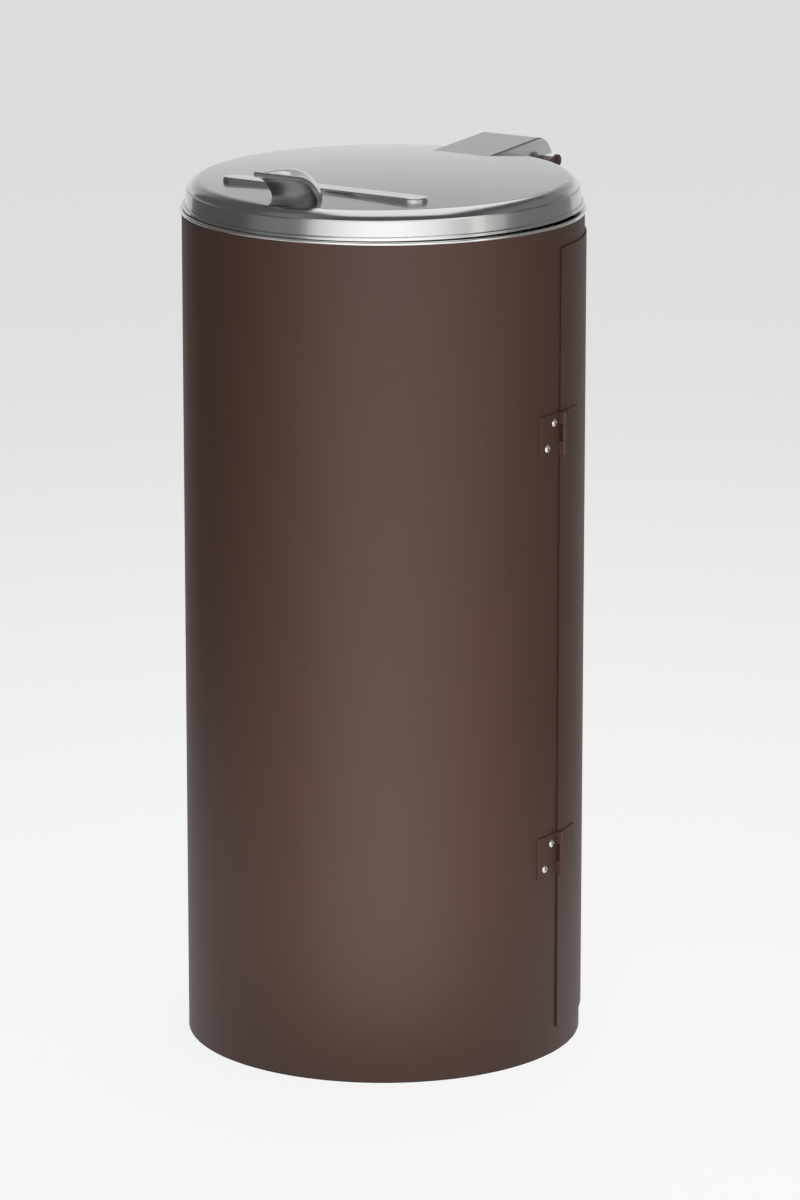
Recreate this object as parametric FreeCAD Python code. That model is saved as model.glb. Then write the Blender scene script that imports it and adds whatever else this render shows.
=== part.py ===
import FreeCAD, Part
import math
import os

Vector = FreeCAD.Vector

# A tall round steel bin that holds a refuse sack, with a moulded lid hinged at the back,
# a curved door over the rear half and a loose ring that clamps the sack in the mouth.
# Millimetres. The origin is on the floor at the middle of the bin, +Z is up, and the lid's
# grip is at -Y. An azimuth starts at the grip and runs from -Y towards +X.

# Driving dimensions of the body
body_radius = 200.0
body_height = 844.0
sheet = 1.2
overrun = 5.0
fit_gap = 0.05
paint_gap = 0.1
edge_break = 0.5

# Floor pan
pan_upstand = 24.0
pan_bead_radius_share = 0.65
pan_bead_half_width = 16.0
pan_bead_crown_half_width = 10.0
pan_bead_height = 5.0

# Sack ring
ring_sheet = 1.2
ring_slack = 2.6
ring_depth = 40.0
ring_bead_height = 3.4
ring_bead_reach = 1.8

# Door over the rear half
hinge_azimuth = 94.25
hinge_offset = 5.0
door_gap = 0.6
door_low = 25.0
door_top_strip = 20.0
door_lap_past_axis = 1.2
door_corner = 3.0
window_lap_hinge = 9.5
window_lap_latch = 15.0
window_lap_end = 12.0
window_corner = 8.0
jamb_depth = 12.0
pull_height = 70.0
pull_reach = 12.0
pull_corner = 5.0

# Door hinges
hinge_spread_share = 0.538
leaf_width = 36.0
leaf_height = 42.5
leaf_sheet = 1.2
leaf_edge = 0.4
knuckle_radius = 2.75
knuckle_gap = 0.3
knuckle_shares = (0.0, 0.31, 0.71, 1.0)
tongue_near = 1.6
hinge_pin_radius = 1.5
pin_head_radius = 2.4
pin_head_height = 0.8
leaf_rivet_near_share = 0.36
leaf_rivet_far_share = 0.69
leaf_rivet_rise_share = 0.28

# Blind rivets
rivet_head_radius = 4.1
rivet_head_height = 1.6
rivet_shank_radius = 2.0
rivet_tail_radius = 2.8
rivet_tail_height = 1.5
rivet_recess_radius = 1.8
rivet_recess_depth = 0.9
rivet_shoulder_share = 0.8
rivet_shoulder_rise_share = 0.62
mandrel_radius = 1.25
mandrel_head_height = 0.7

# Magnetic catches on the latch jamb
catch_spread_share = 0.626
catch_height = 46.0
catch_thickness = 10.0
catch_depth = 9.0
catch_gap = 0.4
catch_rivet_spread_share = 0.6
catch_corner = 1.5
magnet_depth = 2.0
magnet_end_wall = 6.0
magnet_side_wall = 1.5

# Lid moulding, heights counted from the underside of its flange
lid_tilt = 0.66
lid_rest_gap = 0.4
lid_wall = 3.0
flange_setback = 1.0
flange_height = 3.3
flange_round = 0.8
groove_depth = 2.2
groove_height = 0.9
skirt_height = 13.4
skirt_draft = 1.4
crease_depth = 1.8
crease_rise = 1.2
shoulder_bulge_inset = 9.7
shoulder_bulge_rise = 5.6
top_inset = 18.0
top_edge_rise = 8.4
dome_rise = 5.0
rib_inset = 13.0
rib_thickness = 2.4
rib_drop = 14.0

# Low bar across the lid, raised above the dome
bar_half_length_share = 0.655
bar_front_share = 0.646
bar_width = 29.0
bar_front_rise = 3.6
bar_back_rise = 1.0
bar_corner = 14.4
bar_edge = 1.8

# Scoop grip in front of the bar: setbacks run back from the lip, drops run down from it
grip_half_width = 26.7
grip_lip_rise = 27.2
grip_lip_half_thickness = 2.6
grip_side_inner_foot_setback = 28.5
grip_side_outer_foot_setback = 38.0
grip_mid_inner_foot_setback = 54.0
grip_mid_outer_foot_setback = 61.0
grip_side_inner_bend_setback = 21.0
grip_side_inner_bend_drop = 14.8
grip_side_outer_bend_setback = 25.5
grip_side_outer_bend_drop = 11.4
grip_mid_inner_bend_setback = 41.5
grip_mid_inner_bend_drop = 8.4
grip_mid_outer_bend_setback = 46.5
grip_mid_outer_bend_drop = 5.8
grip_section_shares = (-1.0, -0.55, 0.0, 0.55, 1.0)

# Hood over the lid hinge
hood_half_width = 34.5
hood_wall = 2.6
hood_edge = 2.5
hood_front_share = 0.696
hood_front_sink = 1.2
hood_crest_before_pin = 13.0
hood_crest_rise = 7.0
hood_bend_past_pin = 6.0
hood_bend_rise = 0.4
hood_back_past_pin = 14.5
hood_skirt_above_pin = 4.6
hood_cavity_setback = 2.0

# Lid hinge
pin_overhang = 45.0
pin_rise = 10.1
lid_pin_radius = 3.0
lid_pin_head_radius = 4.4
lid_pin_head_height = 1.2
barrel_radius = 6.4
barrel_width = 6.0
barrel_inset = 9.5
barrel_rib_rise = 3.8
spacer_radius = 4.0
spacer_gap = 0.3
arm_clearance = 12.5
arm_sheet = 3.0
arm_eye_radius = 6.5
bracket_sheet = 2.0
bracket_low_gap = 2.0
bracket_high_gap = 1.6
bracket_rivet_azimuths = (-10.0, -3.4, 3.4, 10.0)

# Worked-out sizes
shell_inner = body_radius - sheet
shell_low = sheet
ring_outer = shell_inner - ring_slack
ring_inner = ring_outer - ring_sheet
ring_top = body_height + ring_bead_height
door_inner = body_radius + door_gap
door_outer = door_inner + sheet
door_high = body_height - door_top_strip
door_middle = (door_low + door_high) / 2
hinge_spread = (door_high - door_low) * hinge_spread_share
catch_spread = (door_high - door_low) * catch_spread_share
magnet_height = catch_height - 2 * magnet_end_wall
magnet_thickness = catch_thickness - 2 * magnet_side_wall
hinge_radius = body_radius + hinge_offset
leaf_inner = body_radius + fit_gap
leaf_outer = leaf_inner + leaf_sheet
door_leaf_inner = door_outer + fit_gap
door_leaf_outer = door_leaf_inner + leaf_sheet
bracket_inner = body_radius + fit_gap
bracket_outer = bracket_inner + bracket_sheet
arm_inner = hood_half_width + arm_clearance
arm_outer = arm_inner + arm_sheet
barrel_outer = hood_half_width - barrel_inset
barrel_inner = barrel_outer - barrel_width
flange_radius = body_radius - flange_setback
top_radius = flange_radius - top_inset
skirt_foot_height = flange_height + groove_height
skirt_top_height = skirt_foot_height + skirt_height
crease_height = skirt_top_height + crease_rise
top_edge_height = crease_height + top_edge_rise
pin_reach = body_radius + pin_overhang
hood_front = top_radius * hood_front_share
hood_crest = pin_reach - hood_crest_before_pin
hood_crest_height = top_edge_height + hood_crest_rise
hood_back = pin_reach + hood_back_past_pin
hood_skirt_height = pin_rise + hood_skirt_above_pin
hood_cavity_front = flange_radius + hood_cavity_setback
tilt = math.radians(lid_tilt)
lid_base = ring_top + lid_rest_gap + (pin_reach + flange_radius) * math.tan(tilt)
pin_height = lid_base + pin_rise
up = Vector(0, 0, 1)
origin = Vector(0, 0, 0)
sideways = Vector(1, 0, 0)
back = 180.0
full_turn = 360.0


def heading(azimuth):
    """Unit vector that points outwards at an azimuth."""
    angle = math.radians(azimuth)
    return Vector(math.sin(angle), -math.cos(angle), 0)


def along(azimuth):
    """Unit vector that runs round the body, towards larger azimuths."""
    angle = math.radians(azimuth)
    return Vector(math.cos(angle), math.sin(angle), 0)


def degrees_of(length, radius):
    """Azimuth that an arc length takes up at a radius."""
    return math.degrees(length / radius)


def line(start, end):
    return Part.LineSegment(start, end).toShape()


def arc(start, middle, end):
    return Part.Arc(start, middle, end).toShape()


def polygon(points):
    return Part.Face(Part.makePolygon(points + points[:1]))


def turned(edges):
    """Solid of revolution about +Z from a closed run of edges."""
    return Part.Face(Part.Wire(edges)).revolve(origin, up, full_turn)


def sector(inner, outer, low, high, start, end):
    """Curved plate between two radii, two heights and two azimuths."""
    out = heading(start)
    ends = [(inner, low), (outer, low), (outer, high), (inner, high)]
    corners = [out * radius + up * height for radius, height in ends]
    return polygon(corners).revolve(origin, up, end - start)


def tube(inner, outer, low, high):
    ring = Part.makeCylinder(outer, high - low, up * low)
    return ring.cut(Part.makeCylinder(inner, high - low, up * low))


def edges_along(shape, direction):
    """Straight edges of a shape that run along a direction, either way."""
    found = []
    for edge in shape.Edges:
        run = edge.Vertexes[-1].Point - edge.Vertexes[0].Point
        if edge.Curve.TypeId == "Part::GeomLine" and run.Length > 0:
            if abs(abs(run.normalize().dot(direction)) - 1) < paint_gap / overrun:
                found.append(edge)
    return found


def radial_edges(shape):
    """Straight edges that point at the body's axis."""
    found = []
    for edge in shape.Edges:
        start = edge.Vertexes[0].Point
        run = edge.Vertexes[-1].Point - start
        level = abs(run.z) < fit_gap
        if edge.Curve.TypeId == "Part::GeomLine" and level and run.Length > fit_gap:
            if run.cross(Vector(start.x, start.y, 0)).Length < fit_gap * body_radius:
                found.append(edge)
    return found


def plate(outline, low, high):
    """Flat plate across X, from an outline of (y, z) pairs."""
    face = polygon([Vector(low, y, z) for y, z in outline])
    return face.extrude(sideways * (high - low))


def lathe_point(radius, height):
    return Vector(radius, 0, height)


def rivet(grip):
    """Blind rivet on +Z, bored for its mandrel, with its head above the origin and its tail below the grip."""
    tail = -grip - rivet_tail_height
    head_top = rivet_head_height
    recess = head_top - rivet_recess_depth
    bore = mandrel_radius + fit_gap
    shoulder = lathe_point(rivet_head_radius * rivet_shoulder_share, head_top * rivet_shoulder_rise_share)
    outline = [(bore, tail), (rivet_tail_radius, tail), (rivet_tail_radius, -grip),
               (rivet_shank_radius, -grip), (rivet_shank_radius, 0), (rivet_head_radius, 0)]
    outside = [lathe_point(radius, height) for radius, height in outline]
    crown = lathe_point(rivet_recess_radius, head_top)
    inside = [crown, lathe_point(rivet_recess_radius, recess), lathe_point(bore, recess), outside[0]]
    edges = [line(a, b) for a, b in zip(outside, outside[1:])]
    edges.append(arc(outside[-1], shoulder, crown))
    edges += [line(a, b) for a, b in zip(inside, inside[1:])]
    return turned(edges)


def mandrel(grip):
    """Snapped-off steel stem inside one blind rivet, with its head behind the rivet's tail."""
    neck = -grip - rivet_tail_height - fit_gap
    low = neck - mandrel_head_height
    top = rivet_head_height - rivet_recess_depth
    outline = [(0, low), (rivet_shank_radius, low), (rivet_shank_radius, neck), (mandrel_radius, neck),
               (mandrel_radius, top), (0, top)]
    points = [lathe_point(radius, height) for radius, height in outline]
    return turned([line(a, b) for a, b in zip(points, points[1:] + points[:1])])


def placed(shape, place, direction):
    """Copy of a shape made on +Z, moved to a place and turned to a direction."""
    copy = shape.copy()
    copy.Placement = FreeCAD.Placement(place, FreeCAD.Rotation(up, direction))
    return copy


def rivet_hole(place, direction, depth):
    """Cutter for one rivet's shank, through a wall that ends at the place."""
    start = place - direction * (depth + overrun)
    return Part.makeCylinder(rivet_shank_radius + fit_gap, depth + overrun + overrun, start, direction)


def hinge_heights():
    return {"upper": door_middle + hinge_spread / 2, "lower": door_middle - hinge_spread / 2}


def catch_heights():
    return {"upper": door_middle + catch_spread / 2, "lower": door_middle - catch_spread / 2}


def leaf_seats(radius):
    """Places and directions of the rivets through both body leaves, on a surface at a radius."""
    rise = leaf_height * leaf_rivet_rise_share
    near = heading(hinge_azimuth - degrees_of(leaf_width * leaf_rivet_near_share, body_radius))
    far = heading(hinge_azimuth - degrees_of(leaf_width * leaf_rivet_far_share, body_radius))
    seats = []
    for height in hinge_heights().values():
        seats += [(near * radius + up * (height + rise), near), (far * radius + up * (height - rise), far)]
    return seats


def door_edges():
    """Azimuths of the door's hinge edge and latch edge."""
    start = hinge_azimuth - degrees_of(door_lap_past_axis, body_radius)
    return start, full_turn - start


def window_edges():
    """Azimuths of the two jambs."""
    start, end = door_edges()
    return (hinge_azimuth + degrees_of(window_lap_hinge, body_radius),
            end - degrees_of(window_lap_latch, body_radius))


def bracket_seats(radius):
    """Places and directions of the rivets through the lid's bracket, on a surface at a radius."""
    height = (door_high + bracket_low_gap + body_height - bracket_high_gap) / 2
    outs = [heading(back + azimuth) for azimuth in bracket_rivet_azimuths]
    return [(out * radius + up * height, out) for out in outs]


def catch_frame():
    """Azimuth of the latch jamb's window side, with its outward and round-the-body directions."""
    azimuth = window_edges()[1]
    return heading(azimuth), along(azimuth)


def catch_block(depth_from, depth_to, height, thickness, middle, set_back):
    """Box beside the latch jamb, between two depths below the door's inner face."""
    out, round_body = catch_frame()
    face = door_inner - catch_gap
    corner = out * (face - depth_to) - round_body * (fit_gap + set_back) + up * (middle - height / 2)
    sides = [corner, corner + out * (depth_to - depth_from)]
    sides += [sides[1] - round_body * thickness, corner - round_body * thickness]
    return polygon(sides).extrude(up * height)


def catch_seats():
    """Places and directions of the rivets through both catches, on the hidden side of the latch jamb."""
    out, round_body = catch_frame()
    radius = door_inner - catch_gap - magnet_depth - catch_depth / 2
    seat = out * radius + round_body * (sheet + fit_gap)
    spread = catch_height * catch_rivet_spread_share
    levels = [middle + side * spread / 2 for middle in catch_heights().values() for side in (-1, 1)]
    return [(seat + up * level, round_body) for level in levels]


def floor_pan():
    """Pressed floor with a flange under the shell, an upstand inside it and one raised ring."""
    upstand = shell_inner - paint_gap
    pan_bead_radius = body_radius * pan_bead_radius_share
    foot_in = pan_bead_radius - pan_bead_half_width
    foot_out = pan_bead_radius + pan_bead_half_width
    crown_in = pan_bead_radius - pan_bead_crown_half_width
    crown_out = pan_bead_radius + pan_bead_crown_half_width
    below = [(0, 0), (foot_in, 0), (crown_in, pan_bead_height), (crown_out, pan_bead_height), (foot_out, 0)]
    rim = [(body_radius, 0), (body_radius, sheet), (upstand, sheet), (upstand, pan_upstand),
           (upstand - sheet, pan_upstand)]
    above = [(upstand - sheet, sheet)] + [(radius, height + sheet) for radius, height in reversed(below)]
    points = [lathe_point(radius, height) for radius, height in below + rim + above]
    return turned([line(a, b) for a, b in zip(points, points[1:] + points[:1])])


def body_shell():
    """Rolled steel jacket with the rear window, its two bent-in jambs and the rivet holes."""
    profile = [(shell_inner, shell_low), (body_radius, shell_low), (body_radius, body_height - edge_break),
               (body_radius - edge_break, body_height), (shell_inner, body_height)]
    points = [lathe_point(radius, height) for radius, height in profile]
    shell = turned([line(a, b) for a, b in zip(points, points[1:] + points[:1])])
    start, end = window_edges()
    low = door_low + window_lap_end
    high = door_high - window_lap_end
    window = sector(shell_inner - overrun, body_radius + overrun, low, high, start, end)
    window = window.makeFillet(window_corner, radial_edges(window))
    shell = shell.cut(window)
    jamb_low = low + window_corner
    jamb_high = high - window_corner
    lap = degrees_of(sheet, body_radius)
    depth = body_radius - jamb_depth
    for first, last in ((start - lap, start), (end, end + lap)):
        shell = shell.fuse(sector(depth, shell_inner + sheet / 2, jamb_low, jamb_high, first, last))
    seats = leaf_seats(body_radius) + bracket_seats(body_radius) + catch_seats()
    holes = [rivet_hole(place, direction, sheet) for place, direction in seats]
    return shell.cut(holes).removeSplitter()


def sack_ring():
    """Loose ring: a sleeve inside the mouth and a rolled bead that sits on the body's edge."""
    bead = body_radius
    middle = body_height + ring_bead_height / 2
    points = [(bead, ring_top), (ring_inner + ring_sheet, ring_top), (ring_inner, ring_top - ring_sheet),
              (ring_inner, body_height - ring_depth), (ring_outer, body_height - ring_depth),
              (ring_outer, body_height), (bead, body_height)]
    points = [lathe_point(radius, height) for radius, height in points]
    edges = [line(a, b) for a, b in zip(points, points[1:])]
    edges.append(arc(points[-1], lathe_point(bead + ring_bead_reach, middle), points[0]))
    return turned(edges)


def door_panel():
    """Curved door leaf with rounded corners and a bent-out finger pull on its latch edge."""
    start, end = door_edges()
    panel = sector(door_inner, door_outer, door_low, door_high, start, end)
    panel = panel.makeFillet(door_corner, radial_edges(panel))
    lap = degrees_of(sheet, body_radius)
    low = door_middle - pull_height / 2
    pull = sector(door_inner, door_outer + pull_reach, low, low + pull_height, end - lap, end)
    tips = [edge for edge in pull.Edges if edge_at_tip(edge, door_outer + pull_reach)]
    pull = pull.makeFillet(pull_corner, tips)
    return panel.fuse(pull).removeSplitter()


def edge_at_tip(edge, radius):
    """True for a short round edge, level, at the outer end of the finger pull."""
    ends = [vertex.Point for vertex in edge.Vertexes]
    level = abs(ends[0].z - ends[-1].z) < fit_gap
    far = all(abs(math.hypot(point.x, point.y) - radius) < fit_gap for point in ends)
    return level and far


def hinge_axis(height):
    return heading(hinge_azimuth) * hinge_radius + up * height


def knuckle_spans(height, own):
    """Height spans of one leaf's knuckles, each clear of its neighbours."""
    low = height - leaf_height / 2
    stops = [low + leaf_height * share for share in knuckle_shares]
    spans = list(zip(stops, stops[1:]))
    picked = spans[0::2] if own == "body" else spans[1::2]
    trimmed = []
    for bottom, top in picked:
        bottom += 0 if bottom == stops[0] else knuckle_gap / 2
        top -= 0 if top == stops[-1] else knuckle_gap / 2
        trimmed.append((bottom, top))
    return trimmed


def leaf_rim(leaf, radius, near_point):
    """Outer edges of a bare leaf, apart from the one beside its knuckles."""
    found = []
    for edge in leaf.Edges:
        ends = [vertex.Point for vertex in edge.Vertexes]
        outside = all(abs(math.hypot(point.x, point.y) - radius) < fit_gap for point in ends)
        beside = all(math.hypot(point.x - near_point.x, point.y - near_point.y) < fit_gap for point in ends)
        if outside and not beside:
            found.append(edge)
    return found


def hinge_leaf(height, own):
    """Curved leaf with its knuckles: own is body or door."""
    side = -1 if own == "body" else 1
    inner, outer = (leaf_inner, leaf_outer) if own == "body" else (door_leaf_inner, door_leaf_outer)
    low = height - leaf_height / 2
    clear = knuckle_radius + knuckle_gap
    near = hinge_azimuth + side * degrees_of(clear, body_radius)
    far = hinge_azimuth + side * degrees_of(leaf_width, body_radius)
    tip = hinge_azimuth + side * degrees_of(tongue_near, body_radius)
    inside = near + side * degrees_of(leaf_sheet, body_radius)
    leaf = sector(inner, outer, low, low + leaf_height, min(near, far), max(near, far))
    leaf = leaf.makeChamfer(leaf_edge, leaf_rim(leaf, outer, heading(near) * outer))
    for bottom, top in knuckle_spans(height, own):
        riser = sector(inner, hinge_radius, bottom, top, min(tip, near), max(tip, near))
        root = sector(inner, outer, bottom, top, min(tip, inside), max(tip, inside))
        roll = Part.makeCylinder(knuckle_radius, top - bottom, hinge_axis(bottom))
        leaf = leaf.fuse([riser, root, roll])
    bore = hinge_pin_radius + fit_gap
    cuts = [Part.makeCylinder(bore, leaf_height + overrun + overrun, hinge_axis(low - overrun))]
    if own == "body":
        cuts += [rivet_hole(place, direction, outer - inner) for place, direction in leaf_seats(outer)]
    return leaf.cut(cuts).removeSplitter()


def hinge_pin(height):
    """Pin through one hinge's knuckles, with a small formed head at each end."""
    low = height - leaf_height / 2
    pin = Part.makeCylinder(hinge_pin_radius, leaf_height, hinge_axis(low))
    head = Part.makeCylinder(pin_head_radius, pin_head_height, hinge_axis(low + leaf_height))
    foot = Part.makeCylinder(pin_head_radius, pin_head_height, hinge_axis(low - pin_head_height))
    return pin.fuse([head, foot]).removeSplitter()


def catch_body(middle):
    """Moulded holder that hooks a magnet behind the door, beside the latch jamb."""
    block = catch_block(0, magnet_depth + catch_depth, catch_height, catch_thickness, middle, 0)
    block = block.makeFillet(catch_corner, edges_along(block, up))
    slack = (catch_thickness - magnet_thickness) / 2 - fit_gap
    pocket = catch_block(-overrun, magnet_depth, magnet_height + fit_gap + fit_gap,
                         magnet_thickness + fit_gap + fit_gap, middle, slack)
    holes = [rivet_hole(place, direction, sheet + catch_thickness) for place, direction in catch_seats()]
    return block.cut([pocket] + holes)


def catch_magnet(middle):
    set_back = (catch_thickness - magnet_thickness) / 2
    return catch_block(0, magnet_depth, magnet_height, magnet_thickness, middle, set_back)


def fasteners():
    """Grip and seats of each group of rivets, by the name of what the group holds."""
    return {"body_leaf": (leaf_outer - shell_inner + fit_gap, leaf_seats(leaf_outer)),
            "lid_bracket": (bracket_outer - shell_inner + fit_gap, bracket_seats(bracket_outer)),
            "catch": (sheet + fit_gap + fit_gap + catch_thickness + fit_gap, catch_seats())}


def group(shape, seats):
    """Copies of one fastener at its seats, kept as separate solids."""
    return Part.makeCompound([placed(shape, place, direction) for place, direction in seats])


def lid_bracket():
    """Strip riveted above the door, with two arms that carry the lid's pin."""
    low = door_high + bracket_low_gap
    high = body_height - bracket_high_gap
    spread = math.degrees(math.asin(arm_outer / bracket_outer))
    bracket = sector(bracket_inner, bracket_outer, low, high, back - spread, back + spread)
    root = math.sqrt(bracket_inner ** 2 - arm_inner ** 2)
    eye_top = (pin_reach - arm_eye_radius / 2, pin_height + arm_eye_radius * math.sqrt(3) / 2)
    eye_low = (pin_reach + arm_eye_radius / 2, pin_height - arm_eye_radius * math.sqrt(3) / 2)
    outline = [(root, low), eye_low, eye_top, (root + bracket_sheet, high), (root, high)]
    cuts = []
    for side in (-1, 1):
        first, last = sorted((side * arm_inner, side * arm_outer))
        eye = Part.makeCylinder(arm_eye_radius, arm_sheet, Vector(first, pin_reach, pin_height), sideways)
        bracket = bracket.fuse([plate(outline, first, last), eye])
        start = Vector(first - overrun, pin_reach, pin_height)
        bore = lid_pin_radius + fit_gap
        cuts.append(Part.makeCylinder(bore, arm_sheet + overrun + overrun, start, sideways))
    cuts += [rivet_hole(place, direction, bracket_sheet) for place, direction in bracket_seats(bracket_outer)]
    return bracket.cut(cuts).removeSplitter()


def lid_pin():
    """Pin across the two arms, headed at both ends."""
    reach = arm_outer + fit_gap
    pin = Part.makeCylinder(lid_pin_radius, 2 * reach, Vector(-reach, pin_reach, pin_height), sideways)
    heads = []
    for side in (-1, 1):
        place = Vector(side * reach, pin_reach, pin_height)
        outward = sideways * side
        heads.append(Part.makeCone(lid_pin_head_radius, lid_pin_radius, lid_pin_head_height, place, outward))
    return pin.fuse(heads).removeSplitter()


def pin_spacer(side):
    """Tube on the pin between the lid's barrel and one arm."""
    length = arm_inner - barrel_outer - spacer_gap - spacer_gap
    start = Vector(side * (barrel_outer + spacer_gap), pin_reach, pin_height)
    outer = Part.makeCylinder(spacer_radius, length, start, sideways * side)
    bore = Part.makeCylinder(lid_pin_radius + fit_gap, length, start, sideways * side)
    return outer.cut(bore)


def lid_cap():
    """Turned cap: flange, groove, drafted skirt, crease, rolled shoulder and a low dome."""
    skirt_foot = flange_radius - groove_depth
    skirt_top = skirt_foot - skirt_draft
    crease = skirt_top - crease_depth
    crown = dome_height(0)
    half = top_radius / 2
    dome_half = dome_height(half)
    inner_skirt = skirt_top - crease_depth - lid_wall
    inner_top = top_radius - lid_wall
    chain = [(flange_radius, 0), (flange_radius, flange_height - flange_round),
             (flange_radius - flange_round, flange_height), (skirt_foot, flange_height),
             (skirt_foot, skirt_foot_height), (skirt_top, skirt_top_height), (crease, crease_height)]
    points = [lathe_point(radius, height) for radius, height in chain]
    edges = [line(a, b) for a, b in zip(points, points[1:])]
    bulge = lathe_point(flange_radius - shoulder_bulge_inset, crease_height + shoulder_bulge_rise)
    top_edge = lathe_point(top_radius, top_edge_height)
    edges.append(arc(points[-1], bulge, top_edge))
    edges.append(arc(top_edge, lathe_point(half, dome_half), lathe_point(0, crown)))
    edges.append(line(lathe_point(0, crown), lathe_point(0, crown - lid_wall)))
    under_edge = lathe_point(inner_top, top_edge_height - lid_wall)
    under_half = lathe_point(half, dome_half - lid_wall)
    edges.append(arc(lathe_point(0, crown - lid_wall), under_half, under_edge))
    inner_shoulder = lathe_point(inner_skirt, crease_height - lid_wall)
    foot = lathe_point(inner_skirt, 0)
    edges += [line(under_edge, inner_shoulder), line(inner_shoulder, foot), line(foot, points[0])]
    return turned(edges)


def dome_height(radius):
    """Height of the lid's top face at a radius."""
    return top_edge_height + dome_rise * (1 - (radius / top_radius) ** 2)


def lid_rib():
    """Stiffening ring that hangs under the lid's top."""
    rib_radius = top_radius - rib_inset
    under = dome_height(rib_radius) - lid_wall
    return tube(rib_radius - rib_thickness, rib_radius, under - rib_drop, under + lid_wall / 2)


def lid_bar():
    """Low bar with rounded ends whose top slopes down to the dome at its back edge."""
    bar_half_length = top_radius * bar_half_length_share
    bar_front = top_radius * bar_front_share
    back_edge = bar_front - bar_width
    floor = dome_height(math.hypot(bar_half_length, bar_front)) - lid_wall / 2
    outline = [(-bar_front, floor), (-bar_front, dome_height(bar_front) + bar_front_rise),
               (-back_edge, dome_height(back_edge) + bar_back_rise), (-back_edge, floor)]
    bar = plate(outline, -bar_half_length, bar_half_length)
    bar = bar.makeFillet(bar_corner, edges_along(bar, up))
    rim = [edge for edge in bar.Edges if min(vertex.Point.z for vertex in edge.Vertexes) > floor + bar_edge]
    return bar.makeFillet(bar_edge, [edge for edge in rim if edge.Length > bar_edge])


def grip_section(x, share):
    """Closed outline of the grip across one station: share is 0 in the middle and 1 at a side."""
    def between(middle, side):
        return middle + (side - middle) * share

    def point(setback, drop):
        return Vector(x, setback - top_radius, top_edge_height + grip_lip_rise - drop)

    inner_foot = point(between(grip_mid_inner_foot_setback, grip_side_inner_foot_setback), grip_lip_rise)
    outer_foot = point(between(grip_mid_outer_foot_setback, grip_side_outer_foot_setback), grip_lip_rise)
    inner_bend = point(between(grip_mid_inner_bend_setback, grip_side_inner_bend_setback),
                       between(grip_mid_inner_bend_drop, grip_side_inner_bend_drop))
    outer_bend = point(between(grip_mid_outer_bend_setback, grip_side_outer_bend_setback),
                       between(grip_mid_outer_bend_drop, grip_side_outer_bend_drop))
    under = point(0, grip_lip_half_thickness)
    over = point(0, -grip_lip_half_thickness)
    nose = point(-grip_lip_half_thickness, 0)
    return Part.Wire([arc(inner_foot, inner_bend, under), arc(under, nose, over),
                      arc(over, outer_bend, outer_foot), line(outer_foot, inner_foot)])


def lid_grip():
    """Scoop whose wall is a deep C at its foot and a straight lip at its top."""
    sections = [grip_section(grip_half_width * share, share ** 2) for share in grip_section_shares]
    return Part.makeLoft(sections, True, False)


def hood_outline(inset):
    """Side outline of the hood's top and back, moved inwards by an inset."""
    front = Vector(0, hood_front, dome_height(hood_front) - hood_front_sink - inset)
    crest = Vector(0, hood_crest, hood_crest_height - inset)
    slant = inset / math.sqrt(2)
    bend = Vector(0, pin_reach + hood_bend_past_pin - slant, top_edge_height + hood_bend_rise - slant)
    tail = Vector(0, hood_back - inset, hood_skirt_height)
    return front, crest, bend, tail


def lid_hood():
    """Tongue behind the lid that rises out of the dome and turns down over the hinge."""
    front, crest, bend, tail = hood_outline(0)
    low = Vector(0, hood_cavity_front - lid_wall, hood_skirt_height)
    heel = Vector(0, top_radius, dome_height(top_radius) - lid_wall)
    start = front - up * (lid_wall / 2)
    edges = [line(start, front), line(front, crest), arc(crest, bend, tail), line(tail, low), line(low, heel),
             line(heel, start)]
    face = Part.Face(Part.Wire(edges))
    face.translate(sideways * -hood_half_width)
    hood = face.extrude(sideways * (2 * hood_half_width))
    rims = []
    for edge in hood.Edges:
        ends = [Vector(0, vertex.Point.y, vertex.Point.z) for vertex in edge.Vertexes]
        on_top = all(min((end - corner).Length for corner in (front, crest, tail)) < fit_gap for end in ends)
        if on_top and edge.BoundBox.XLength < fit_gap:
            rims.append(edge)
    return hood.makeFillet(hood_edge, rims)


def hood_cavity():
    """Space under the hood, behind the lid's rim."""
    front, crest, bend, tail = hood_outline(hood_wall)
    roof = front + (crest - front) * ((hood_cavity_front - hood_front) / (hood_crest - hood_front))
    low_front = Vector(0, hood_cavity_front, hood_skirt_height - overrun)
    low_back = Vector(0, tail.y, hood_skirt_height - overrun)
    edges = [line(low_front, roof), line(roof, crest), arc(crest, bend, tail), line(tail, low_back),
             line(low_back, low_front)]
    half = hood_half_width - hood_wall
    face = Part.Face(Part.Wire(edges))
    face.translate(sideways * -half)
    return face.extrude(sideways * (2 * half))


def lid_barrels(hood):
    """Two ribs inside the hood, each with an eye for the pin."""
    front = hood_cavity_front - lid_wall / 2
    high = top_edge_height + barrel_rib_rise
    outline = [(front, hood_skirt_height), (front, high), (pin_reach, high),
               (pin_reach + barrel_radius, pin_rise), (pin_reach - barrel_radius, pin_rise)]
    below_hood = [(front, 0), (front, hood_skirt_height), (hood_back, hood_skirt_height), (hood_back, 0)]
    ribs = []
    for side in (-1, 1):
        first, last = sorted((side * barrel_inner, side * barrel_outer))
        web = plate(outline, first, last)
        inside = web.common(hood.fuse(plate(below_hood, first, last)))
        place = Vector(first, pin_reach, pin_rise)
        eye = Part.makeCylinder(barrel_radius, barrel_outer - barrel_inner, place, sideways)
        ribs.append(inside.fuse(eye))
    return ribs


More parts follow.
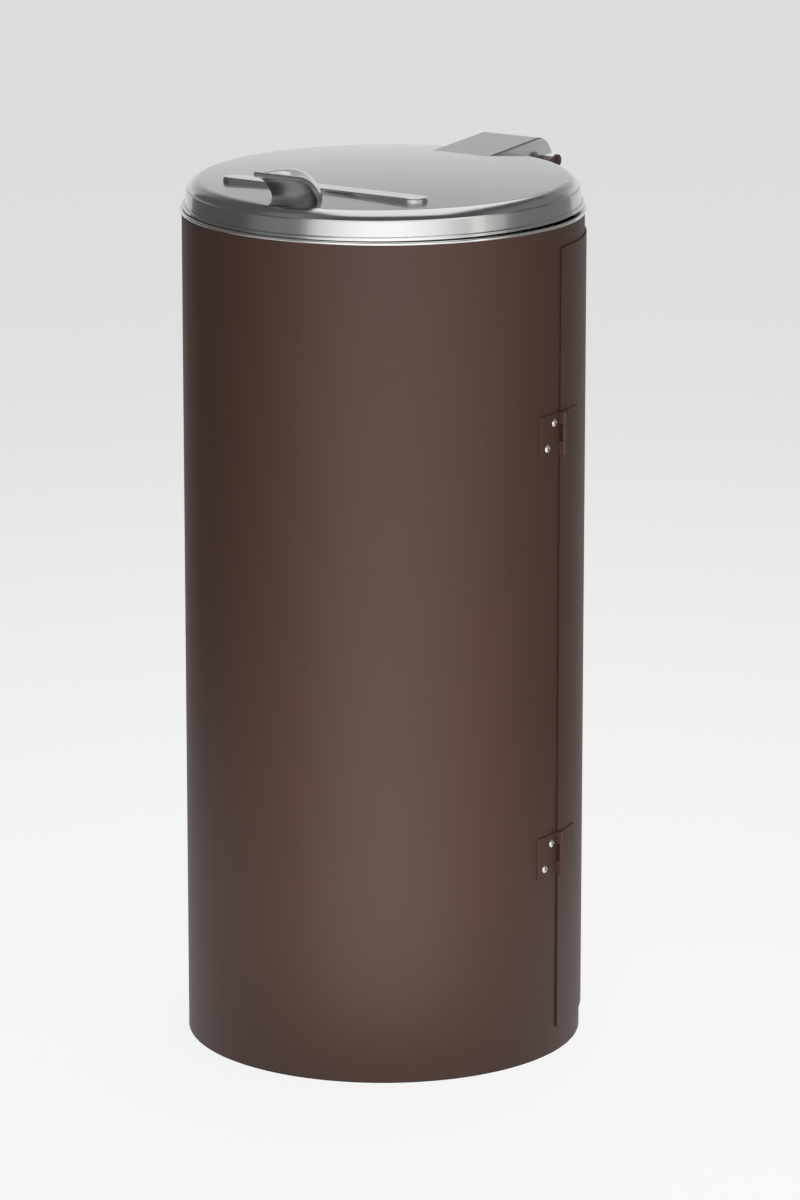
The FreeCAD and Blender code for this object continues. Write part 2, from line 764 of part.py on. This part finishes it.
def lid():
    """The whole moulding, made level and then tilted about its pin until it rests on the ring."""
    hood = lid_hood()
    shell = lid_cap().fuse([lid_rib(), lid_bar(), lid_grip(), hood])
    shell = shell.cut(hood_cavity()).fuse(lid_barrels(hood))
    bore = Part.makeCylinder(lid_pin_radius + fit_gap, 2 * hood_half_width,
                             Vector(-hood_half_width, pin_reach, pin_rise), sideways)
    shell = shell.cut(bore).removeSplitter()
    shell.translate(up * lid_base)
    shell.rotate(Vector(0, pin_reach, pin_height), sideways, lid_tilt)
    return shell


def nodes():
    """Every piece of the bin by its node name."""
    pieces = {"body_shell": body_shell(), "floor_pan": floor_pan(), "sack_ring": sack_ring(),
              "door_panel": door_panel(), "lid": lid(), "lid_bracket": lid_bracket(),
              "lid_pin": lid_pin(), "left_pin_spacer": pin_spacer(-1), "right_pin_spacer": pin_spacer(1)}
    for name, (grip, seats) in fasteners().items():
        pieces[name + "_rivets"] = group(rivet(grip), seats)
        pieces[name + "_mandrels"] = group(mandrel(grip), seats)
    for name, height in hinge_heights().items():
        pieces[name + "_hinge_body_leaf"] = hinge_leaf(height, "body")
        pieces[name + "_hinge_door_leaf"] = hinge_leaf(height, "door")
        pieces[name + "_hinge_pin"] = hinge_pin(height)
    for name, middle in catch_heights().items():
        pieces[name + "_catch_body"] = catch_body(middle)
        pieces[name + "_catch_magnet"] = catch_magnet(middle)
    return pieces


def main():
    os.makedirs("parts", exist_ok=True)
    for name, shape in nodes().items():
        shape.exportStep(os.path.join("parts", name + ".step"))
        print(name, len(shape.Solids), shape.isValid(), round(shape.Volume))


main()
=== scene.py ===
import math
from collections import namedtuple

import bmesh
import bpy
from bpy.props import FloatProperty, FloatVectorProperty, PointerProperty
from mathutils import Matrix, Vector

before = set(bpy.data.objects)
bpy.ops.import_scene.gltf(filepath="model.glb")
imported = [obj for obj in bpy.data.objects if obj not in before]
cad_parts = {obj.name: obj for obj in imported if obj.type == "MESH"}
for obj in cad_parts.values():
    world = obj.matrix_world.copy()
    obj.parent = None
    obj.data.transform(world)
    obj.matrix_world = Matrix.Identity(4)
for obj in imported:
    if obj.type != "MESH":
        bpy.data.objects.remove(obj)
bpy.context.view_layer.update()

bl_info = {
    "name": "Lidded sack bin",
    "version": (1, 0, 0),
    "blender": (4, 5, 0),
    "location": "View3D > Sidebar > Sack bin",
    "description": "Dresses a tall round sack bin and sets it on a studio floor",
    "category": "Add Mesh",
}

MM = 0.001

BROWN_NODES = ("body_shell", "door_panel", "lid_bracket", "lid_pin")
HINGE_NODES = ("upper_hinge_body_leaf", "upper_hinge_door_leaf", "upper_hinge_pin",
               "lower_hinge_body_leaf", "lower_hinge_door_leaf", "lower_hinge_pin")
RIVET_NODES = ("body_leaf_rivets", "lid_bracket_rivets", "catch_rivets")
MANDREL_NODES = ("body_leaf_mandrels", "lid_bracket_mandrels", "catch_mandrels")
SPACER_NODES = ("left_pin_spacer", "right_pin_spacer")
CATCH_NODES = ("upper_catch_body", "lower_catch_body")
MAGNET_NODES = ("upper_catch_magnet", "lower_catch_magnet")

# Cards that stand round the bin. Start and end are degrees round it from the camera, positive to the
# camera's right. Distance, foot and top are in metres. Sides and core are the brightness at a card's sides
# and in its middle.
Card = namedtuple("Card", "name start end distance foot top sides core colour")
CARDS = (
    Card("front_softbox", -42.0, 45.0, 1.7, 0.12, 1.0, 0.95, 2.1, "FFFFFF"),
    Card("front_upper_cloth", -42.0, 45.0, 1.7, 1.0, 1.5, 0.45, 0.8, "FFFFFF"),
    Card("right_softbox", 48.0, 56.0, 1.4, 0.08, 1.4, 1.6, 1.6, "FFFAF0"),
    Card("left_grey_card", -75.0, -39.8, 0.9, 0.08, 2.2, 0.21, 0.28, "FFFFFF"),
    Card("left_flag", -134.0, -75.0, 0.9, 0.08, 2.2, 0.12, 0.12, "FFFFFF"),
    Card("right_flag", 62.0, 120.0, 0.55, 0.08, 1.3, 0.25, 0.25, "FFFFFF"),
)
CARD_STEPS = 24
FLOOR_SIDES = 96
# Rise of a line of sight, 0 where it is level and 1 straight up, between which the backdrop darkens
BACKDROP_FOOT = 0.08
BACKDROP_TOP = 0.6
CAMERA_FRAME_MM = 36.0


def linear(code):
    """Linear colour with alpha from an sRGB hex code."""
    shares = [int(code[i:i + 2], 16) / 255 for i in (0, 2, 4)]
    return [s / 12.92 if s <= 0.04045 else ((s + 0.055) / 1.055) ** 2.4 for s in shares] + [1.0]


def opaque(colour):
    """A setting's linear colour with alpha."""
    return list(colour) + [1.0]


def add_node(tree, kind, settings=None, links=None):
    """One shader node: settings are its fields or input values, links are its inputs' sources."""
    node = tree.nodes.new(kind)
    for key, value in (settings or {}).items():
        if key in node.inputs:
            node.inputs[key].default_value = value
        else:
            setattr(node, key, value)
    for key, source in (links or {}).items():
        tree.links.new(source, node.inputs[key])
    return node


def new_material(name):
    """Material with an empty node tree."""
    material = bpy.data.materials.new(name)
    material.use_nodes = True
    tree = material.node_tree
    tree.nodes.clear()
    return material, tree


def surface(tree, shader):
    """Makes a shader the material's surface."""
    add_node(tree, "ShaderNodeOutputMaterial", links={"Surface": shader.outputs[0]})


def dress(names, material):
    """Gives a finish to the pieces that stand as they are in the frame."""
    for name in names:
        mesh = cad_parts[name].data
        mesh.materials.clear()
        mesh.materials.append(material)


def powder_coat(name, colour, finish):
    """Polyester powder, sprayed and baked on steel: an even colour under a satin, faintly dimpled skin."""
    material, tree = new_material(name)
    place = add_node(tree, "ShaderNodeTexCoord")
    dimple = add_node(tree, "ShaderNodeTexNoise", {"Scale": 1 / (finish.dimple * MM), "Detail": 2.0},
                      {"Vector": place.outputs["Object"]})
    cloud = add_node(tree, "ShaderNodeTexNoise",
                     {"Scale": 1 / (finish.cloud * MM), "Detail": 6.0, "Roughness": 0.72},
                     {"Vector": place.outputs["Object"]})
    tint = add_node(tree, "ShaderNodeValToRGB", links={"Fac": cloud.outputs["Fac"]})
    tint.color_ramp.elements[0].color = opaque([share * finish.cloud_depth for share in colour])
    tint.color_ramp.elements[1].color = opaque(colour)
    bump = add_node(tree, "ShaderNodeBump", {"Strength": 0.7, "Distance": finish.dimple_height * MM},
                    {"Height": dimple.outputs["Fac"]})
    shader = add_node(tree, "ShaderNodeBsdfPrincipled", {"Roughness": 0.55, "IOR": 1.5},
                      {"Base Color": tint.outputs["Color"], "Normal": bump.outputs["Normal"]})
    surface(tree, shader)
    return material


def silver_lacquer(finish):
    """Silver lacquer on moulded ABS: flakes blur what they mirror, and the clear coat on them is sharp."""
    material, tree = new_material("silver_lacquer_on_moulded_abs")
    place = add_node(tree, "ShaderNodeTexCoord")
    flake = add_node(tree, "ShaderNodeTexNoise", {"Scale": 1 / (finish.flake * MM), "Detail": 2.0},
                     {"Vector": place.outputs["Object"]})
    gloss = add_node(tree, "ShaderNodeMapRange", {"To Min": 0.235, "To Max": 0.25},
                     {"Value": flake.outputs["Fac"]})
    shader = add_node(tree, "ShaderNodeBsdfPrincipled",
                      {"Base Color": opaque(finish.silver), "Metallic": 1.0, "Coat Weight": 1.0,
                       "Coat Roughness": 0.04, "Coat IOR": 1.5},
                      {"Roughness": gloss.outputs["Result"]})
    surface(tree, shader)
    return material


def worked_metal(name, colour, roughness, grain):
    """Plated, drawn or snapped metal: a mirror that fine marks blur unevenly."""
    material, tree = new_material(name)
    place = add_node(tree, "ShaderNodeTexCoord")
    # Real marks are too fine to show, so the grain, in millimetres, is drawn coarser
    marks = add_node(tree, "ShaderNodeTexNoise", {"Scale": 1 / (grain * MM), "Detail": 2.0},
                     {"Vector": place.outputs["Object"]})
    gloss = add_node(tree, "ShaderNodeMapRange", {"To Min": roughness, "To Max": roughness * 1.5},
                     {"Value": marks.outputs["Fac"]})
    shader = add_node(tree, "ShaderNodeBsdfPrincipled", {"Base Color": opaque(colour), "Metallic": 1.0},
                      {"Roughness": gloss.outputs["Result"]})
    surface(tree, shader)
    return material


def grained_matt(name, colour, roughness, grain):
    """Moulded plastic or ground ferrite: matt, with the fine even grain of its tool or of its grinding."""
    material, tree = new_material(name)
    place = add_node(tree, "ShaderNodeTexCoord")
    # Real pits are too fine to show, so the grain, in millimetres, is drawn coarser
    pits = add_node(tree, "ShaderNodeTexNoise", {"Scale": 1 / (grain * MM), "Detail": 2.0},
                    {"Vector": place.outputs["Object"]})
    bump = add_node(tree, "ShaderNodeBump", {"Strength": 0.2, "Distance": 0.1 * MM},
                    {"Height": pits.outputs["Fac"]})
    shader = add_node(tree, "ShaderNodeBsdfPrincipled",
                      {"Base Color": opaque(colour), "Roughness": roughness, "IOR": 1.5},
                      {"Normal": bump.outputs["Normal"]})
    surface(tree, shader)
    return material


class FinishSettings(bpy.types.PropertyGroup):
    """Colours and grain sizes of the bin's finishes."""
    brown: FloatVectorProperty(
        name="Body brown", description="Powder coat of the body, door and hinges",
        subtype="COLOR", default=linear("53372C")[:3])
    # The floor pan's near-black paints the thin dark line of contact shadow along the body's foot.
    black: FloatVectorProperty(
        name="Floor black", description="Powder coat of the floor pan",
        subtype="COLOR", default=linear("1E1A19")[:3])
    silver: FloatVectorProperty(
        name="Lid silver", description="Lacquer of the lid",
        subtype="COLOR", default=linear("BABBBC")[:3])
    zinc: FloatVectorProperty(
        name="Ring zinc", description="Plating of the sack ring",
        subtype="COLOR", default=linear("E6E6E4")[:3])
    rivet: FloatVectorProperty(
        name="Rivet aluminium", description="Colour of the blind rivets",
        subtype="COLOR", default=linear("DEDDD8")[:3])
    # Near-black stems: their steel, and painted shade where the rivets' holes fall dark.
    mandrel_steel_and_hole_shade: FloatVectorProperty(
        name="Mandrel steel", description="Colour of the rivets' snapped stems",
        subtype="COLOR", default=linear("1C1A19")[:3])
    nylon: FloatVectorProperty(
        name="Spacer grey", description="Colour of the pin's spacers",
        subtype="COLOR", default=linear("B4B4B2")[:3])
    catch: FloatVectorProperty(
        name="Catch black", description="Colour of the catch holders",
        subtype="COLOR", default=linear("1B1B1B")[:3])
    ferrite: FloatVectorProperty(
        name="Magnet grey", description="Colour of the ground magnets",
        subtype="COLOR", default=linear("3A3A3C")[:3])
    # Real dimples and flakes are too fine for the picture, so both are drawn coarser
    dimple: FloatProperty(
        name="Dimple", description="Width of the powder coat's dimples in millimetres", default=2.4)
    dimple_height: FloatProperty(
        name="Dimple height", description="Depth of the dimples in millimetres", default=0.2)
    cloud: FloatProperty(
        name="Cloud", description="Width of the coat's faint clouds in millimetres", default=60.0)
    cloud_depth: FloatProperty(
        name="Cloud depth", description="Share of the colour left in a cloud",
        subtype="FACTOR", default=0.88)
    flake: FloatProperty(
        name="Flake", description="Width of the lacquer's groups of flakes in millimetres", default=1.5)


class StudioSettings(bpy.types.PropertyGroup):
    """Floor, level cards, surround and camera."""
    floor_radius: FloatProperty(
        name="Floor radius", description="Reach of the studio floor", unit="LENGTH", default=16.0)
    floor_colour: FloatVectorProperty(
        name="Floor colour", description="Paper of the studio floor, apart from its glow",
        subtype="COLOR", default=linear("828282")[:3])
    # Above the far glow, the floor's extra glow at the bin is a painted pool of light.
    lift_with_painted_pool: FloatProperty(
        name="Floor lift", description="Glow of the floor at the bin, where it is seen or mirrored",
        default=0.83)
    far_lift: FloatProperty(
        name="Far lift", description="Glow of the floor away from the bin", default=0.69)
    # The painted pool of light fades out over this distance.
    painted_pool_reach: FloatProperty(
        name="Floor pool", description="Distance at which the floor's glow has faded",
        unit="LENGTH", default=3.6)
    overhead_width: FloatProperty(
        name="Overhead width", description="Width of the softbox above the bin", unit="LENGTH", default=1.6)
    overhead_depth: FloatProperty(
        name="Overhead depth", description="Depth of the softbox above the bin", unit="LENGTH", default=4.0)
    overhead_height: FloatProperty(
        name="Overhead height", description="Height of the softbox above the floor",
        unit="LENGTH", default=2.8)
    overhead_forward: FloatProperty(
        name="Overhead forward", description="Softbox's place towards the camera",
        unit="LENGTH", default=-1.2)
    overhead_right: FloatProperty(
        name="Overhead right", description="Softbox's place to the camera's right",
        unit="LENGTH", default=0.15)
    overhead_strength: FloatProperty(
        name="Overhead strength", description="Brightness of the softbox above the bin", default=1.4)
    reflector_width: FloatProperty(
        name="Reflector width", description="Width of the cloth on the floor", unit="LENGTH", default=0.65)
    reflector_depth: FloatProperty(
        name="Reflector depth", description="Depth of the cloth on the floor", unit="LENGTH", default=0.8)
    reflector_height: FloatProperty(
        name="Reflector height", description="Height of the cloth above the floor",
        unit="LENGTH", default=0.02)
    reflector_forward: FloatProperty(
        name="Reflector forward", description="Cloth's place towards the camera",
        unit="LENGTH", default=0.75)
    reflector_strength: FloatProperty(
        name="Reflector strength", description="Brightness of the cloth on the floor", default=2.1)
    sky: FloatProperty(
        name="Sky", description="Share of the backdrop's brightness that lights the bin",
        subtype="FACTOR", default=0.08)
    rear_fill: FloatProperty(
        name="Rear fill", description="The same share straight behind the bin", default=1.6)
    backdrop: FloatProperty(
        name="Backdrop", description="Brightness of the backdrop near the floor", default=0.78)
    ceiling: FloatProperty(
        name="Ceiling", description="Brightness of the surround high up", default=0.1)
    view_azimuth: FloatProperty(
        name="View azimuth", description="Camera's turn from the front of the lid",
        subtype="ANGLE", default=math.radians(34.0))
    view_distance: FloatProperty(
        name="View distance", description="Camera's distance from the bin's axis",
        unit="LENGTH", default=5.5)
    view_height: FloatProperty(
        name="View height", description="Camera's height above the floor", unit="LENGTH", default=1.82)
    view_tilt: FloatProperty(
        name="View tilt", description="How far the camera looks down",
        subtype="ANGLE", default=math.radians(14.04))
    view_turn: FloatProperty(
        name="View turn", description="How far the camera looks past the bin's axis, to its right",
        subtype="ANGLE", default=math.radians(0.173))
    lens: FloatProperty(
        name="Lens", description="Focal length of the camera in millimetres", default=168.6)


class SACKBIN_OT_steelwork(bpy.types.Operator):
    """Coats the jacket, door, bracket, pin and hinges"""
    bl_idname = "sackbin.steelwork"
    bl_label = "Coat the steelwork"

    def execute(self, context):
        finish = context.scene.sackbin_finish
        coat = powder_coat("brown_powder_coat_on_steel", finish.brown, finish)
        dress(BROWN_NODES + HINGE_NODES, coat)
        return {"FINISHED"}


class SACKBIN_OT_floor_pan(bpy.types.Operator):
    """Coats the floor pan in near-black, which paints the contact shadow along the body's foot"""
    bl_idname = "sackbin.floor_pan"
    bl_label = "Coat the floor pan"

    def execute(self, context):
        finish = context.scene.sackbin_finish
        # The pan's near-black is painted shadow along the foot of the body.
        dress(("floor_pan",), powder_coat("black_powder_coat_with_painted_foot_shadow", finish.black, finish))
        return {"FINISHED"}


class SACKBIN_OT_lid(bpy.types.Operator):
    """Lacquers the lid"""
    bl_idname = "sackbin.lid"
    bl_label = "Lacquer the lid"

    def execute(self, context):
        dress(("lid",), silver_lacquer(context.scene.sackbin_finish))
        return {"FINISHED"}


class SACKBIN_OT_ring(bpy.types.Operator):
    """Plates the sack ring"""
    bl_idname = "sackbin.ring"
    bl_label = "Plate the sack ring"

    def execute(self, context):
        finish = context.scene.sackbin_finish
        dress(("sack_ring",), worked_metal("zinc_plated_steel", finish.zinc, roughness=0.14, grain=1.0))
        return {"FINISHED"}


class SACKBIN_OT_rivets(bpy.types.Operator):
    """Gives the blind rivets their bright aluminium, and the snapped stems inside them a near-black steel
    that also paints the shade down in the rivets' holes
    """
    bl_idname = "sackbin.rivets"
    bl_label = "Finish the rivets"

    def execute(self, context):
        finish = context.scene.sackbin_finish
        dress(RIVET_NODES, worked_metal("drawn_aluminium", finish.rivet, roughness=0.22, grain=0.6))
        # The stems' near-black paints the shade inside the rivets' holes as well as their steel.
        dress(MANDREL_NODES, worked_metal("snapped_steel_wire_and_painted_hole_shade", finish.mandrel_steel_and_hole_shade, roughness=0.45, grain=0.6))
        return {"FINISHED"}


class SACKBIN_OT_spacers_and_catches(bpy.types.Operator):
    """Gives the spacers, catches and magnets their finishes"""
    bl_idname = "sackbin.spacers_and_catches"
    bl_label = "Finish the spacers and catches"

    def execute(self, context):
        finish = context.scene.sackbin_finish
        dress(SPACER_NODES, grained_matt("moulded_nylon", finish.nylon, roughness=0.5, grain=0.4))
        dress(CATCH_NODES, grained_matt("moulded_black_abs", finish.catch, roughness=0.55, grain=0.4))
        dress(MAGNET_NODES, grained_matt("ground_ferrite", finish.ferrite, roughness=0.6, grain=0.3))
        return {"FINISHED"}


def mesh_object(name, shape, material):
    """Object of a finished bmesh, linked to the scene."""
    mesh = bpy.data.meshes.new(name)
    shape.to_mesh(mesh)
    shape.free()
    mesh.materials.append(material)
    piece = bpy.data.objects.new(name, mesh)
    bpy.context.scene.collection.objects.link(piece)
    return piece


def unseen(piece):
    """Keeps a card out of the picture and out of the shadows."""
    piece.visible_camera = False
    piece.visible_shadow = False
    return piece


def lit_cloth(card, middle, half_angle):
    """Cloth of a card, which its lamp lights more in the middle of its width than at its sides."""
    material, tree = new_material(card.name)
    place = add_node(tree, "ShaderNodeTexCoord")
    centring = add_node(tree, "ShaderNodeVectorMath", {"operation": "DOT_PRODUCT"},
                        {"Vector": place.outputs["Object"]})
    centring.inputs[1].default_value = middle / card.distance
    strength = add_node(tree, "ShaderNodeMapRange",
                        {"From Min": math.cos(half_angle), "To Min": card.sides, "To Max": card.core},
                        {"Value": centring.outputs["Value"]})
    shader = add_node(tree, "ShaderNodeEmission", {"Color": linear(card.colour)},
                      {"Strength": strength.outputs["Result"]})
    surface(tree, shader)
    return material


def upright_card(card, studio):
    """Curved card that stands round the bin."""
    shape = bmesh.new()
    ends = [shape.verts.new((0.0, -card.distance, height)) for height in (card.foot, card.top)]
    edge = shape.edges.new(ends)
    first = Matrix.Rotation(studio.view_azimuth + math.radians(card.start), 3, "Z")
    bmesh.ops.rotate(shape, verts=ends, matrix=first)
    angle = math.radians(card.end - card.start)
    bmesh.ops.spin(shape, geom=ends + [edge], axis=(0.0, 0.0, 1.0), angle=angle, steps=CARD_STEPS)
    middle = Matrix.Rotation(angle / 2, 3, "Z") @ first @ Vector((0.0, -1.0, 0.0))
    return unseen(mesh_object(card.name, shape, lit_cloth(card, middle, angle / 2)))


def one_sided_cloth(name, strength):
    """Cloth that shines from its front and lets light through from its back."""
    material, tree = new_material(name)
    sides = add_node(tree, "ShaderNodeNewGeometry")
    glow = add_node(tree, "ShaderNodeEmission", {"Strength": strength})
    clear = add_node(tree, "ShaderNodeBsdfTransparent")
    shader = add_node(tree, "ShaderNodeMixShader", links={"Fac": sides.outputs["Backfacing"]})
    tree.links.new(glow.outputs[0], shader.inputs[1])
    tree.links.new(clear.outputs[0], shader.inputs[2])
    surface(tree, shader)
    return material


def level_card(name, width, depth, place, tilt, strength, studio):
    """Level card at a place to the camera's right, towards the camera and above the floor."""
    shape = bmesh.new()
    bmesh.ops.create_grid(shape, x_segments=1, y_segments=1, size=0.5)
    across = Matrix.Diagonal((width, depth, 1.0, 1.0))
    right, forward, height = place
    spot = Matrix.Translation((right, -forward, height))
    turn = Matrix.Rotation(studio.view_azimuth, 4, "Z")
    face = Matrix.Rotation(tilt, 4, "X")
    bmesh.ops.transform(shape, matrix=turn @ spot @ face @ across, verts=shape.verts)
    return unseen(mesh_object(name, shape, one_sided_cloth(name + "_cloth", strength)))


def overhead_softbox(studio):
    """Softbox above the bin, which faces down and reaches back behind it."""
    place = (studio.overhead_right, studio.overhead_forward, studio.overhead_height)
    return level_card("overhead_softbox", studio.overhead_width, studio.overhead_depth, place, math.pi,
                      studio.overhead_strength, studio)


def floor_reflector(studio):
    """White cloth on the floor before the bin, which faces up and lights the foot of the body."""
    place = (0.0, studio.reflector_forward, studio.reflector_height)
    return level_card("floor_reflector", studio.reflector_width, studio.reflector_depth, place, 0.0,
                      studio.reflector_strength, studio)


def seen_share(tree):
    """One where the background is seen or mirrored, and nought for the light that it throws on the bin."""
    path = add_node(tree, "ShaderNodeLightPath")
    mirrored = add_node(tree, "ShaderNodeMath", {"operation": "MAXIMUM"})
    tree.links.new(path.outputs["Is Glossy Ray"], mirrored.inputs[0])
    tree.links.new(path.outputs["Is Transmission Ray"], mirrored.inputs[1])
    either = add_node(tree, "ShaderNodeMath", {"operation": "MAXIMUM"})
    tree.links.new(path.outputs["Is Camera Ray"], either.inputs[0])
    tree.links.new(mirrored.outputs[0], either.inputs[1])
    return either.outputs[0]


def studio_floor(studio):
    """Wide pale floor that keeps the bin's soft shadow, with a painted pool of light that glows most near
    the bin.
    """
    shape = bmesh.new()
    bmesh.ops.create_circle(shape, cap_ends=True, segments=FLOOR_SIDES, radius=studio.floor_radius)
    material, tree = new_material("pale_studio_floor")
    paper = add_node(tree, "ShaderNodeBsdfDiffuse", {"Color": opaque(studio.floor_colour)})
    place = add_node(tree, "ShaderNodeTexCoord")
    reach = add_node(tree, "ShaderNodeVectorMath", {"operation": "LENGTH"},
                     {"Vector": place.outputs["Object"]})
    # The glow fades from the bin outwards: a painted pool of light on the floor.
    lift = add_node(tree, "ShaderNodeMapRange",
                    {"interpolation_type": "SMOOTHSTEP", "From Max": studio.painted_pool_reach,
                     "To Min": studio.lift_with_painted_pool, "To Max": studio.far_lift},
                    {"Value": reach.outputs["Value"]})
    strength = add_node(tree, "ShaderNodeMapRange",
                        links={"Value": seen_share(tree), "To Max": lift.outputs["Result"]})
    glow = add_node(tree, "ShaderNodeEmission", links={"Strength": strength.outputs["Result"]})
    shader = add_node(tree, "ShaderNodeAddShader")
    tree.links.new(paper.outputs[0], shader.inputs[0])
    tree.links.new(glow.outputs[0], shader.inputs[1])
    surface(tree, shader)
    return mesh_object("studio_floor", shape, material)


def surround(studio):
    """Backdrop that darkens towards the ceiling, and lights the bin with a share of what is seen of it."""
    world = bpy.data.worlds.new("studio_surround")
    world.use_nodes = True
    tree = world.node_tree
    tree.nodes.clear()
    place = add_node(tree, "ShaderNodeTexCoord")
    height = add_node(tree, "ShaderNodeSeparateXYZ", links={"Vector": place.outputs["Generated"]})
    backdrop = add_node(tree, "ShaderNodeMapRange",
                        {"From Min": BACKDROP_FOOT, "From Max": BACKDROP_TOP,
                         "To Min": studio.backdrop, "To Max": studio.ceiling},
                        {"Value": height.outputs["Z"]})
    rear = add_node(tree, "ShaderNodeVectorMath", {"operation": "DOT_PRODUCT"},
                    {"Vector": place.outputs["Generated"]})
    rear.inputs[1].default_value = (-math.sin(studio.view_azimuth), math.cos(studio.view_azimuth), 0.0)
    fill = add_node(tree, "ShaderNodeMapRange", {"To Min": studio.sky, "To Max": studio.rear_fill},
                    {"Value": rear.outputs["Value"]})
    strength = add_node(tree, "ShaderNodeMapRange",
                        links={"Value": seen_share(tree), "To Min": fill.outputs["Result"]})
    back = add_node(tree, "ShaderNodeBackground",
                    links={"Color": backdrop.outputs["Result"], "Strength": strength.outputs["Result"]})
    add_node(tree, "ShaderNodeOutputWorld", links={"Surface": back.outputs[0]})
    bpy.context.scene.world = world


def studio_camera(studio):
    """Camera at the picture's viewing angle, above the bin's mouth and tilted down."""
    data = bpy.data.cameras.new("studio_camera")
    data.lens = studio.lens
    data.sensor_width = CAMERA_FRAME_MM
    camera = bpy.data.objects.new("studio_camera", data)
    azimuth = studio.view_azimuth
    camera.location = (math.sin(azimuth) * studio.view_distance, -math.cos(azimuth) * studio.view_distance,
                       studio.view_height)
    camera.rotation_euler = (math.pi / 2 - studio.view_tilt, 0.0, azimuth - studio.view_turn)
    bpy.context.scene.collection.objects.link(camera)
    bpy.context.scene.camera = camera


class SACKBIN_OT_stage(bpy.types.Operator):
    """Sets up the floor, the light cards and the camera"""
    bl_idname = "sackbin.stage"
    bl_label = "Set the stage"

    def execute(self, context):
        studio = context.scene.sackbin_studio
        pieces = [studio_floor(studio)]
        pieces += [upright_card(card, studio) for card in CARDS]
        pieces += [overhead_softbox(studio), floor_reflector(studio)]
        surround(studio)
        studio_camera(studio)
        context.scene.view_settings.view_transform = "Standard"
        return {"FINISHED"}


OPERATORS = (SACKBIN_OT_steelwork, SACKBIN_OT_floor_pan, SACKBIN_OT_lid, SACKBIN_OT_ring, SACKBIN_OT_rivets,
             SACKBIN_OT_spacers_and_catches, SACKBIN_OT_stage)


class SACKBIN_PT_panel(bpy.types.Panel):
    """Lists the steps that dress the bin, and the sizes and colours that they use"""
    bl_idname = "SACKBIN_PT_panel"
    bl_label = "Sack bin"
    bl_space_type = "VIEW_3D"
    bl_region_type = "UI"
    bl_category = "Sack bin"

    def draw(self, context):
        for operator in OPERATORS:
            self.layout.operator(operator.bl_idname)
        for settings in (context.scene.sackbin_finish, context.scene.sackbin_studio):
            for name in settings.__annotations__:
                self.layout.prop(settings, name)


CLASSES = (FinishSettings, StudioSettings) + OPERATORS + (SACKBIN_PT_panel,)


def register():
    """Adds the classes and their settings to Blender."""
    for item in CLASSES:
        bpy.utils.register_class(item)
    bpy.types.Scene.sackbin_finish = PointerProperty(type=FinishSettings)
    bpy.types.Scene.sackbin_studio = PointerProperty(type=StudioSettings)


def unregister():
    """Takes the settings and classes out again."""
    del bpy.types.Scene.sackbin_studio
    del bpy.types.Scene.sackbin_finish
    for item in reversed(CLASSES):
        bpy.utils.unregister_class(item)


def main():
    """Dresses the bin and sets the stage."""
    register()
    bpy.ops.sackbin.steelwork()
    bpy.ops.sackbin.floor_pan()
    bpy.ops.sackbin.lid()
    bpy.ops.sackbin.ring()
    bpy.ops.sackbin.rivets()
    bpy.ops.sackbin.spacers_and_catches()
    bpy.ops.sackbin.stage()


if __name__ == "__main__":
    main()
